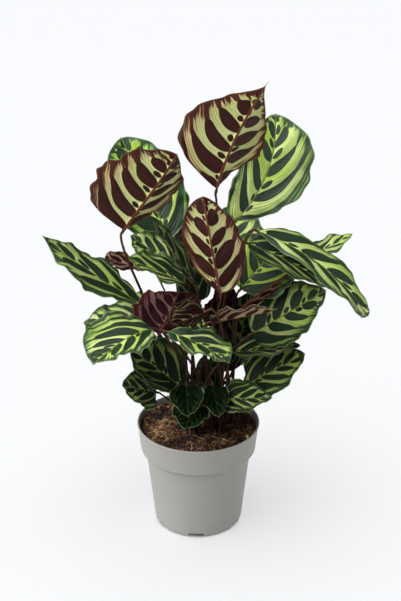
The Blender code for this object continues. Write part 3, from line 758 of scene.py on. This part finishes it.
# Where each crown of stalks stands, and the stalks' own sizes.
crownPlace = {"a": (-20, 8), "b": (-7, -22), "c": (22, -18), "d": (38, 10), "e": (8, 9),
              "f": (-9, 38), "g": (24, 38)}
stalkShape = {
    "rootHeight": 118.0, "rootRing": 4.5, "jointLength": 5.0, "gap": 0.72, "bladeThickness": 1.6,
    "rootRadius": 2.3, "thinRadius": 1.2, "jointRadius": 1.65,
    "sheathShare": 0.2, "sheathSwell": 0.6,        # the clasping foot of each stalk
    "ridgeDepth": 0.05,                            # share of the radius
    # handles of the centre line: the first straight over the root, the second back from the knee,
    # each a share of the way between the two, and the second no longer than backMost
    "rootHandle": 0.42, "backShare": 0.24, "backMost": 28.0, "backAlong": 0.4, "backLean": 0.6,
    "rows": 54, "jointRows": 7, "sides": 12,
    "collar": (1.0, 1.04, 1.12),                   # the last radii under the joint
    "tongue": (1.0, 2.4, 4.2), "tongueRadius": (1.15, 0.9, 0.35),    # its run under the blade
    "neckLine": [(0, 95), (6.0, 97), (8.6, 112), (8.7, 118), (8.0, 122), (5.6, 125.4), (3.0, 126.7),
                 (0, 127)],
    "neckRows": 26, "neckSides": 30, "neckHeights": (95.4, 126.9), "neckTop": 127.1, "neckFoot": 95.0,
    "ribs": 5, "ribDepth": 0.1, "ribFoot": 110.0, "ribFade": 12.0,
    "scales": 7, "scaleHeight": (6.0, 22.0), "scaleWidth": 6.0, "scaleFoot": 114.0,
    "scaleRadius": 8.6, "scaleLean": 2.2, "scaleFlare": 3.4,    # at its foot, then in and out again
    "scaleThickness": 0.4, "scaleGrid": (15, 9),
}


# The stalk's centre line: a cubic curve from the crown to the joint, then straight under the blade.
def stalkPath(one, slot, slots, u):
    shape = stalkShape
    x, y = crownPlace[one["crown"]]
    turn = tau * slot / slots
    ring = shape["rootRing"]
    root = np.array([x + ring * cos(turn), y + ring * sin(turn), shape["rootHeight"]])
    _, along, out, _ = midrib(one, np.array([0.0]))
    end = one["base"] - along[0] * shape["gap"] - out[0] * shape["bladeThickness"] / 2
    knee = end - along[0] * shape["jointLength"]
    reach = np.linalg.norm(knee - root)
    lean = np.array([*one["lean"], 0.0])
    first = root + np.array([0, 0, shape["rootHandle"] * reach]) + lean
    back = unit(shape["backAlong"] * along[0] + unit(knee - root))
    back = back * min(shape["backMost"], shape["backShare"] * reach)
    second = knee - back + lean * shape["backLean"]
    return cubic(u[:, None], root, first, second, knee), end, along[0], out[0]


# A tube: centre + radius (cos a times side + sin a times the second side), with closed ends. It
# thins from the sheath at its foot to the swollen joint, and runs out under the blade.
def stalkPart(number, one, slot, slots):
    shape = stalkShape
    rows, joints, sides = shape["rows"], shape["jointRows"], shape["sides"]
    u = np.linspace(0, 1, rows)
    path, end, along, out = stalkPath(one, slot, slots, u)
    joint = path[-1] + (end - path[-1]) * np.linspace(0.15, 1.0, joints)[:, None]
    tongue = end + along * np.array(shape["tongue"])[:, None] - out * 0.15
    path = np.vstack([path, joint, tongue])
    size = 0.75 + 0.25 * min(one["width"], 100) / 100      # broad leaves have the thicker stalks
    thin = (shape["thinRadius"] - shape["rootRadius"]) * np.minimum(1, u * 1.3) ** 0.8
    thin = shape["rootRadius"] + thin
    foot = np.clip(1 - u / shape["sheathShare"], 0, 1)
    thin = thin + shape["sheathSwell"] * foot ** 0.5 * np.minimum(1, u / 0.02 + 0.4) * (foot > 0)
    swell = np.abs(np.linspace(-0.9, 0.75, joints)) ** 2.2
    swell = shape["jointRadius"] + (shape["thinRadius"] - shape["jointRadius"]) * swell
    thin[-3:] = np.array(shape["collar"]) * shape["thinRadius"]
    radius = np.concatenate([thin, swell, shape["tongueRadius"]]) * size
    # share of the stalk's way, by which it is coloured: the joint has the last twentieth
    share = np.concatenate([u * 0.94, 0.945 + 0.055 * np.linspace(0, 1, joints), [1.0, 1.0, 1.0]])

    # the rings are turned by the direction that the stalk bends round, so they do not twist
    tangent = unit(np.gradient(path, axis=0))
    guide = np.cross(path[rows // 2] - path[0], path[rows - 1] - path[rows // 2])
    first = unit(np.cross(tangent, unit(guide + np.array([1e-3, 2e-3, 0]))))
    second = np.cross(tangent, first)
    angle = np.linspace(0, tau, sides, endpoint=False)
    seed = int(number)
    count = len(path)
    around = np.broadcast_to(angle / tau, (count, sides))
    ridges = latticeNoise(share[:, None] * 26 + seed, around * 4, 40 + seed)
    ridges = 1 + shape["ridgeDepth"] * (np.sin(3 * angle + seed)[None, :] + ridges)
    ring = radius[:, None] * ridges
    points = path[:, None, :] + ring[..., None] * circle(angle, first, second)
    points = np.vstack([points.reshape(-1, 3), path[:1], path[-1:]])
    uv = np.stack([np.broadcast_to(share[:, None], (count, sides)), around + seed], -1).reshape(-1, 2)
    uv = np.vstack([uv, [[0, seed]], [[1, seed]]])
    return dict(points=points, faces=tubeFaces(count, sides), uv={"stalk": uv})


# The neck: its line of radius and height turned about the crown's axis, ribbed by old leaf bases.
def neckPart(crown):
    x, y = crownPlace[crown]
    shape = stalkShape
    rows, sides = shape["neckRows"], shape["neckSides"]
    line = np.array(shape["neckLine"], float)
    height = np.linspace(*shape["neckHeights"], rows)
    radius = np.interp(height, line[:, 1], line[:, 0])
    angle = np.linspace(0, tau, sides, endpoint=False)
    seed = ord(crown)
    fade = np.clip((height - shape["ribFoot"]) / shape["ribFade"], 0, 1)
    ribs = 1 + shape["ribDepth"] * np.sin(shape["ribs"] * angle + seed)[None, :] * fade[:, None]
    around = np.broadcast_to(angle * 3, (rows, sides))
    ribs = ribs + 0.05 * latticeNoise(height[:, None] * 0.4, around, seed)
    ring = radius[:, None] * ribs
    points = np.stack([x + ring * np.cos(angle), y + ring * np.sin(angle),
                       np.broadcast_to(height[:, None], ring.shape)], -1).reshape(-1, 3)
    points = np.vstack([points, [[x, y, shape["neckFoot"]]], [[x, y, shape["neckTop"]]]])
    uv = np.stack([np.zeros(len(points)), np.append(np.tile(angle, rows), [0, 0]) + seed], -1)
    return dict(points=points, faces=tubeFaces(rows, sides), slots=[1, 1, 1], uv={"stalk": uv})


# A papery scale that clasps the crown: at the share t of its height its width goes by
# (1/4 + 3/4 sin(pi (0.2 + 0.8 t)^1.2)) (1 - t^5), and it is curved round the crown's axis.
def scalePart(crown, index):
    shape = stalkShape
    x, y = crownPlace[crown]
    random = np.random.RandomState(ord(crown) * 7 + index)
    turn = tau * (index + random.uniform(-0.25, 0.25)) / shape["scales"] + 0.7
    tall = random.uniform(*shape["scaleHeight"])
    rows, columns = shape["scaleGrid"]
    t, s = np.meshgrid(np.linspace(0, 1, rows), np.linspace(-1, 1, columns), indexing="ij")
    wide = (0.25 + 0.75 * np.sin(pi * np.minimum(1, t * 0.8 + 0.2) ** 1.2)) * (1 - t ** 5)
    wide = shape["scaleWidth"] / 2 * wide
    flare = shape["scaleFlare"] * t ** 3 * random.uniform(-0.3, 1.2)
    radius = shape["scaleRadius"] - shape["scaleLean"] * t + flare
    angle = turn + s * np.maximum(wide, 0.15) / 8.0
    ruck = 0.35 * latticeNoise(t * 6, s * 3 + 9, ord(crown) + index)
    height = shape["scaleFoot"] + (tall + 4) * t
    faces = [np.stack([x + (radius + ruck - thick) * np.cos(angle),
                       y + (radius + ruck - thick) * np.sin(angle), height], -1).reshape(-1, 3)
             for thick in (0.0, shape["scaleThickness"])]
    uv = np.stack([t.ravel() * 0.3, s.ravel() * 0.2 + index + ord(crown)], -1)
    return dict(points=np.vstack(faces), faces=sheetFaces(rows, columns), slots=[2, 2, 2],
                uv={"stalk": np.vstack([uv, uv])})


# The stalks darken towards the foot and the necks are dark: partly their own colour, partly painted
# shade inside the clump.
stalkPaint = {
    "low": (30, 17, 10), "middle": (44, 19, 12), "high": (80, 52, 32), "joint": (76, 44, 28),
    "neck": (24, 15, 10), "neckLight": (58, 40, 27), "scale": (88, 62, 46), "scaleDark": (30, 18, 14),
}


# The stalk's skin changes from foot to joint; the neck and the scales are drawn out in fibres.
def makeStalkMaterials():
    tints = {key: paint(*value) for key, value in stalkPaint.items()}
    material, tree, shader = newMaterial("stalk_skin")
    shader.inputs["Specular IOR Level"].default_value = 0.1
    place = uvMap(tree, "stalk")
    along = split(tree, place)[0]
    wide = addNode(tree, "Mapping", {"Vector": place, "Scale": (9.0, 5.0, 1.0)}).outputs[0]
    grain = noise(tree, wide, 2.0, 4.0)
    flecks = calc(tree, "MULTIPLY", over(tree, grain, 0.68, 0.2), 0.35)
    # darker towards the foot, partly painted shade inside the clump
    colour = layered(tree, tints["low"], (over(tree, along, 0.24, 0.3), tints["middle"]),
                     (over(tree, along, 0.75, 0.5), tints["high"]),
                     (over(tree, along, 0.95, 0.03), tints["joint"]), (flecks, tints["joint"]))
    tree.links.new(colour, shader.inputs["Base Color"])
    tree.links.new(calc(tree, "MULTIPLY_ADD", grain, 0.3, 0.38), shader.inputs["Roughness"])
    bump(tree, grain, 0.4, 0.0005, shader)

    made = [material]
    for name, first, second in (("neck_fibre", "neck", "neckLight"),
                                ("dry_scale", "scale", "scaleDark")):
        material, tree, shader = newMaterial(name, Roughness=0.75)
        shader.inputs["Specular IOR Level"].default_value = 0.15
        drawn = {"Vector": uvMap(tree, "stalk"), "Scale": (3.0, 14.0, 1.0)}
        grain = noise(tree, addNode(tree, "Mapping", drawn).outputs[0], 3.0, 4.0)
        colour = mixColour(tree, over(tree, grain, 0.52, 0.3), tints[first], tints[second])
        tree.links.new(colour, shader.inputs["Base Color"])
        bump(tree, grain, 0.6, 0.0008, shader)
        made.append(material)
    return made


# The leaves of a crown in the order of their bearing from it, as their stalks stand round its neck.
def crownLeaves(crown):
    x, y = crownPlace[crown]
    place = {n: one["base"] for n, one in leafTable.items() if one["crown"] == crown}
    return sorted(place, key=lambda n: np.arctan2(place[n][1] - y, place[n][0] - x) % tau)


stalkMaterials = makeStalkMaterials()
for crown in crownPlace:
    members = crownLeaves(crown)
    parts = [stalkPart(n, leafTable[n], slot, len(members)) for slot, n in enumerate(members)]
    parts += [neckPart(crown)] + [scalePart(crown, k) for k in range(stalkShape["scales"])]
    stems = newPiece("stems_" + crown, parts, stalkMaterials)
    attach(stems, "root")
    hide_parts("crown_" + crown)
print(len(crownPlace), "crowns of stalks made")


# The pot as lines of radius and height, its notches and its colours.
potShape = {
    "outside": [(70.3, 127.0), (70.6, 125.6), (69.6, 124.0), (66.4, 95.0), (65.8, 94.0), (60.9, 93.2),
                (51.6, 6.0), (50.6, 1.8), (49.2, 0.0)],
    "underside": [(47.0, 0.0), (46.2, 6.0), (14.5, 6.0), (13.5, 0.0)],
    "inside": [(48.4, 8.0), (50.0, 10.0), (58.9, 92.6), (59.6, 94.8), (64.5, 95.8), (68.0, 124.0),
               (68.6, 127.0)],
    "cornerReach": 0.6, "sharpAngle": 38.0, "steps": 144,
    "notchCount": 6, "notchFoot": 20.0, "notchTop": 16.5, "notchHeight": 5.8, "firstNotch": -93.0,
    "notchReach": (43.5, 54.0),                    # the cutter's radii, inside and outside the foot
    "drainRadius": 3.5, "drainRing": 36.0, "drainHeights": (4.5, 9.5), "drainSteps": 24,
    "cloudScale": 26.0, "gritScale": 1500.0, "drawnScale": (6.0, 6.0, 420.0),
    "grey": (133, 131, 126), "paleGrey": (143, 141, 136), "scuff": (122, 119, 112),
}


# A line with its corners eased: each becomes (1-t)² before + 2t(1-t) corner + t² after.
def easedLine(line, reach, steps=4):
    line = np.array(line, float)
    before, corner, after = line[:-2], line[1:-1], line[2:]
    back, forth = before - corner, after - corner
    start, end = (corner + unit(leg) * np.minimum(
        reach, np.linalg.norm(leg, axis=1, keepdims=True) * 0.4) for leg in (back, forth))
    t = np.linspace(0, 1, steps)[None, :, None]
    eased = (1 - t) ** 2 * start[:, None] + 2 * t * (1 - t) * corner[:, None] + t * t * end[:, None]
    return np.vstack([line[:1], eased.reshape(-1, 2), line[-1:]])


# A line of radius and height turned about z, (r cos a, r sin a, z), its ends closed on the axis.
# change may move the heights: it gets the radius, angle and height grids.
def turnedPart(line, angle, change=None):
    radius, a = np.meshgrid(line[:, 0], angle, indexing="ij")
    height = np.broadcast_to(line[:, 1:2], radius.shape).copy()
    if change is not None:
        height = change(radius, a, height)
    points = np.stack([radius * np.cos(a), radius * np.sin(a), height], -1).reshape(-1, 3)
    points = np.vstack([points, [[0, 0, height[0].mean()]], [[0, 0, height[-1].mean()]]])
    rows, columns = radius.shape
    return dict(points=points, faces=tubeFaces(rows, columns, flip=True))


# A closed block between two rings of points, one over the other, for cutting with.
def blockPart(low, high):
    count = len(low)
    one, after = np.arange(count), np.roll(np.arange(count), -1)
    sides = np.stack([one, after, after + count, one + count], -1)
    return dict(points=np.vstack([low, high]), faces=[sides, one[None, ::-1], one[None, :] + count])


# The notches of the foot, wider at the floor, and a drain hole behind each.
def potCutter():
    shape = potShape
    parts = []
    for k in range(shape["notchCount"]):
        a = radians(shape["firstNotch"] + 360 * k / shape["notchCount"])
        outward, sideways = np.array([cos(a), sin(a), 0]), np.array([-sin(a), cos(a), 0])
        near, far = shape["notchReach"]
        corners = np.array([(near, -0.5), (far, -0.5), (far, 0.5), (near, 0.5)])
        sizes = (shape["notchFoot"], -1.0), (shape["notchTop"], shape["notchHeight"])
        block = [corners[:, :1] * outward + corners[:, 1:] * wide * sideways
                 + np.array([0, 0, height]) for wide, height in sizes]
        turn = np.linspace(0, tau, shape["drainSteps"], endpoint=False)
        ring = shape["drainRadius"] * circle(turn, outward, sideways)
        ring = shape["drainRing"] * outward + ring
        drain = [ring + np.array([0, 0, height]) for height in shape["drainHeights"]]
        parts += [blockPart(*block), blockPart(*drain)]
    return newPiece("pot_cutter", parts, [])


# The pot: one line from the middle of its floor up the inside, over the rim and down to the foot,
# turned about z and cut. Its plastic is clouded, a little gritty and scuffed at the foot.
def makePot():
    shape = potShape
    line = [(40.0, 8.0)] + shape["inside"] + shape["outside"] + shape["underside"] + [(12.0, 0.0)]
    line = np.vstack([[[1.0, 8.0]], easedLine(line, shape["cornerReach"]), [[1.0, 0.0]]])
    angle = np.linspace(0, tau, shape["steps"], endpoint=False)

    material, tree, shader = newMaterial("pot_plastic")
    spot = addNode(tree, "TexCoord").outputs["Object"]
    cloud = noise(tree, spot, shape["cloudScale"], 4.0)
    grit = noise(tree, spot, shape["gritScale"], 2.0)
    flat = addNode(tree, "Mapping", {"Vector": spot, "Scale": shape["drawnScale"]}).outputs[0]
    drawn = noise(tree, flat, 1.0, 3.0)
    foot = calc(tree, "SUBTRACT", 1.0, over(tree, split(tree, spot)[2], 0.01, 0.03))
    scuff = calc(tree, "MULTIPLY", over(tree, cloud, 0.56, 0.2), 0.35)
    scuff = calc(tree, "MULTIPLY", foot, scuff)
    colour = layered(tree, paint(*shape["grey"]), (cloud, paint(*shape["paleGrey"])),
                     (scuff, paint(*shape["scuff"])))
    tree.links.new(colour, shader.inputs["Base Color"])
    tree.links.new(calc(tree, "MULTIPLY_ADD", cloud, 0.2, 0.42), shader.inputs["Roughness"])
    relief = calc(tree, "ADD", calc(tree, "MULTIPLY", grit, 0.5), drawn)
    bump(tree, relief, 0.12, 0.0004, shader)

    pot = newPiece("nursery_pot", [turnedPart(line, angle)], [material])
    cutter = potCutter()
    boolean = pot.modifiers.new("notches and drains", "BOOLEAN")
    boolean.operation = "DIFFERENCE"
    boolean.solver = "EXACT"
    boolean.object = cutter
    bpy.context.view_layer.update()
    cut = pot.evaluated_get(bpy.context.evaluated_depsgraph_get())
    cutMesh = bpy.data.meshes.new_from_object(cut)
    pot.modifiers.clear()
    pot.data = cutMesh
    bpy.data.objects.remove(cutter, do_unlink=True)
    pot.data.set_sharp_from_angle(angle=radians(shape["sharpAngle"]))
    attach(pot, "root")
    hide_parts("pot")
    potAlone.objects.link(pot)


makePot()
print("pot turned")


# The soil's top and side as radius and height, what is strewn on it, and its colours.
soilShape = {
    "top": [(0.0, 121.5), (20.0, 121.2), (37.0, 120.4), (52.0, 119.4), (67.0, 118.2)],
    "side": [(67.0, 118.0), (64.1, 96.2), (59.2, 95.2), (58.5, 92.8), (49.6, 10.2), (48.1, 8.35)],
    "rows": 60, "steps": 240,
    "rough": ((2.3, 9.0, 20, 1), (1.5, 3.1, 50, 2), (0.8, 1.3, 90, 3)),    # height, size, shift, seed
    "chips": 1500, "chipLength": (1.8, 9.0), "chipRing": 64.5,
    "fibres": 1500, "fibreLength": (5.0, 21.0), "fibreRadius": (0.22, 0.65),
    "fibreRing": 62.0, "fibreReach": 65.5, "fibrePoints": 7,
    "lumpScale": 120.0, "grainScale": 520.0, "litterScale": 700.0, "patchScale": 34.0,
    "dark": (16, 9, 5), "mid": (86, 52, 32), "gold": (168, 120, 64), "pale": (214, 186, 148),
}


# Height of the soil's top: its line over the radius plus three noises that fade out at the wall.
def soilHeight(x, y):
    r = np.hypot(x, y)
    line = np.array(soilShape["top"])
    rough = sum(height * latticeNoise(x / size + shift, y / size + shift, seed)
                for height, size, shift, seed in soilShape["rough"])
    return np.interp(r, line[:, 0], line[:, 1]) + rough * np.clip((67.5 - r) / 4, 0.15, 1)


def makeSoil():
    shape = soilShape
    random = np.random.RandomState(11)
    dark, mid, gold, pale = (paint(*shape[key]) for key in ("dark", "mid", "gold", "pale"))
    material, tree, shader = newMaterial("soil_bed", Roughness=0.95)
    spot = addNode(tree, "TexCoord").outputs["Object"]
    lumps = noise(tree, spot, shape["lumpScale"], 5.0)
    grains = noise(tree, spot, shape["grainScale"], 4.0)
    colour = layered(tree, dark, (over(tree, lumps, 0.5, 0.25), mid),
                     (over(tree, grains, 0.62, 0.12), gold))
    tree.links.new(colour, shader.inputs["Base Color"])
    bump(tree, calc(tree, "ADD", lumps, grains), 0.9, 0.0012, shader)

    litter, tree, shader = newMaterial("soil_litter", Roughness=0.9)
    chance = split(tree, uvMap(tree, "litter"))[0]
    spot = addNode(tree, "TexCoord").outputs["Object"]
    grains = noise(tree, spot, shape["litterScale"], 3.0)
    patches = noise(tree, spot, shape["patchScale"], 2.0)
    chance = calc(tree, "ADD", chance, calc(tree, "MULTIPLY_ADD", patches, 1.6, -0.85))
    colour = layered(tree, dark, (over(tree, chance, 0.45, 0.3), mid),
                     (over(tree, chance, 0.72, 0.2), gold), (over(tree, chance, 0.95, 0.04), pale),
                     (calc(tree, "MULTIPLY", grains, 0.5), dark))
    tree.links.new(colour, shader.inputs["Base Color"])

    # bed: the top's rows are marked by a height over the pot, which lift changes to the soil's own
    rows, mark = shape["rows"], 200.0
    wall, bottom = shape["side"][0][0], shape["side"][-1][1]
    surface = np.stack([np.linspace(1, wall, rows), np.full(rows, mark)], -1)
    line = np.vstack([surface, np.array(shape["side"]), [[1.0, bottom]]])
    angle = np.linspace(0, tau, shape["steps"], endpoint=False)
    lift = lambda r, a, h: np.where(h == mark, soilHeight(r * np.cos(a), r * np.sin(a)), h)
    bed = newPiece("soil_bed", [turnedPart(line, angle, lift)], [material])
    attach(bed, "root")
    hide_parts("soil")

    # chips: a ball of twelve points stretched and turned at random, half sunk in the surface
    g = (1 + 5 ** 0.5) / 2
    ball = unit(np.array([(-1, g, 0), (1, g, 0), (-1, -g, 0), (1, -g, 0), (0, -1, g), (0, 1, g),
                          (0, -1, -g), (0, 1, -g), (g, 0, -1), (g, 0, 1), (-g, 0, -1), (-g, 0, 1)],
                         float))
    skin = np.array([(0, 11, 5), (0, 5, 1), (0, 1, 7), (0, 7, 10), (0, 10, 11), (1, 5, 9), (5, 11, 4),
                     (11, 10, 2), (10, 7, 6), (7, 1, 8), (3, 9, 4), (3, 4, 2), (3, 2, 6), (3, 6, 8),
                     (3, 8, 9), (4, 9, 5), (2, 4, 11), (6, 2, 10), (8, 6, 7), (9, 8, 1)])
    count = shape["chips"]
    r = shape["chipRing"] * np.sqrt(random.uniform(0, 1, count))
    a = random.uniform(0, tau, count)
    x, y = r * np.cos(a), r * np.sin(a)
    long = random.uniform(*shape["chipLength"], count) * random.uniform(0.4, 1, count) / 2
    size = np.stack([long, long * random.uniform(0.3, 0.8, count),
                     long * random.uniform(0.15, 0.5, count)], -1)
    lumpy = ball[None] * size[:, None] * random.uniform(0.7, 1.25, (count, 12, 1))
    drawn = random.normal(size=(count, 3, 3)) * [1, 1, 0.35]
    xAxis = unit(drawn[:, 0])
    zAxis = unit(np.cross(xAxis, drawn[:, 1] + [0, 0, 0.01]))
    axes = np.stack([xAxis, np.cross(zAxis, xAxis), zAxis], 1)
    points = np.einsum("nij,njk->nik", lumpy, axes)
    points += np.stack([x, y, soilHeight(x, y) + long * 0.25], -1)[:, None]
    chance = np.repeat(random.uniform(0, 1, count), 12)
    skin = (skin[None] + 12 * np.arange(count)[:, None, None]).reshape(-1, 3)
    chips = dict(points=points.reshape(-1, 3), faces=[skin],
                 uv={"litter": np.stack([chance, chance], -1)})

    # fibres: a three-sided thread along the bent line middle + (t - 1/2) run + 4 t (1 - t) bend
    count, joints = shape["fibres"], shape["fibrePoints"]
    r = shape["fibreRing"] * np.sqrt(random.uniform(0, 1, count))
    a = random.uniform(0, tau, count)
    middle = np.stack([r * np.cos(a), r * np.sin(a)], -1)
    heading = random.uniform(0, tau, count)
    long = random.uniform(*shape["fibreLength"], count)
    run = np.stack([np.cos(heading), np.sin(heading)], -1) * long[:, None]
    bend = random.normal(size=(count, 2)) * 5
    t = np.linspace(0, 1, joints)[None, :, None]
    flat = middle[:, None] + (t - 0.5) * run[:, None] + 4 * t * (1 - t) * bend[:, None]
    far = np.linalg.norm(flat, axis=-1, keepdims=True)
    flat = flat * np.minimum(1, shape["fibreReach"] / far)
    rise = random.uniform(-0.4, 1.6, (count, 1))
    rise = rise + random.uniform(0, 4.5, (count, 1)) * (t[..., 0] - 0.3) ** 2 * 2
    spine = np.concatenate([flat, (soilHeight(flat[..., 0], flat[..., 1]) + rise)[..., None]], -1)
    forward = unit(np.gradient(spine, axis=1))
    sideways = unit(np.cross(forward, [0, 0, 1.0]))
    upward = np.cross(sideways, forward)
    thick = random.uniform(*shape["fibreRadius"], (count, 1))
    thick = thick * (1 - 0.6 * np.abs(2 * t[..., 0] - 1) ** 3)
    ring = circle(np.array([0, tau / 3, 2 * tau / 3]), sideways, upward)
    points = spine[:, :, None] + ring * thick[..., None, None]
    tube, total = gridFaces(joints, 3, closed=True), 3 * joints
    ends = np.array([(0, 2, 1), (total - 3, total - 2, total - 1)])
    step = total * np.arange(count)[:, None, None]
    chance = np.repeat(random.uniform(0.25, 1, count), total)
    fibres = dict(points=points.reshape(-1, 3),
                  faces=[(tube + step).reshape(-1, 4), (ends + step).reshape(-1, 3)],
                  uv={"litter": np.stack([chance, chance], -1)})
    scattered = newPiece("soil_litter", [chips, fibres], [litter])
    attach(scattered, "root")


makeSoil()
print("soil filled and strewn")
